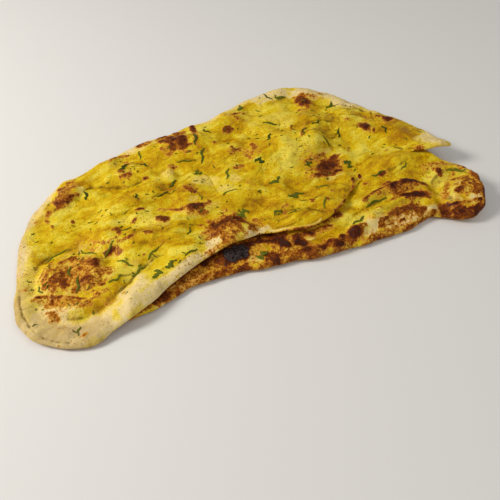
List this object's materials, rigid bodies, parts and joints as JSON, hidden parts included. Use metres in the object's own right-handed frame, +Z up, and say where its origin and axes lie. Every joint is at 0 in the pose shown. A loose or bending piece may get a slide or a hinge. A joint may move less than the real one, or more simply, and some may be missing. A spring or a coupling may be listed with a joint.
{
  "type": "naan bread",
  "caption": "Long buttered garlic naan with coriander shreds: a broad blistered flap lying over a toasted lower layer, with a pointed tip and a curled knob end.",
  "frame": {"origin": "middle of the bread's length and width, at table height", "axes": "+X along the length towards the pointed tip and the knob, +Y to the back edge, +Z up from the table"},
  "size_m": [0.399, 0.2296, 0.0239],
  "materials": {
    "baked_bread": "baked dough brushed with yellow garlic butter: glossy yellow top, dry cream rims, orange-brown toasted blisters and dark char spots",
    "coriander": "shredded coriander leaf and stem, dark green, moist from the butter"
  },
  "bodies": {
    "root": {"naan": "baked_bread"}
  },
  "joints": []
}
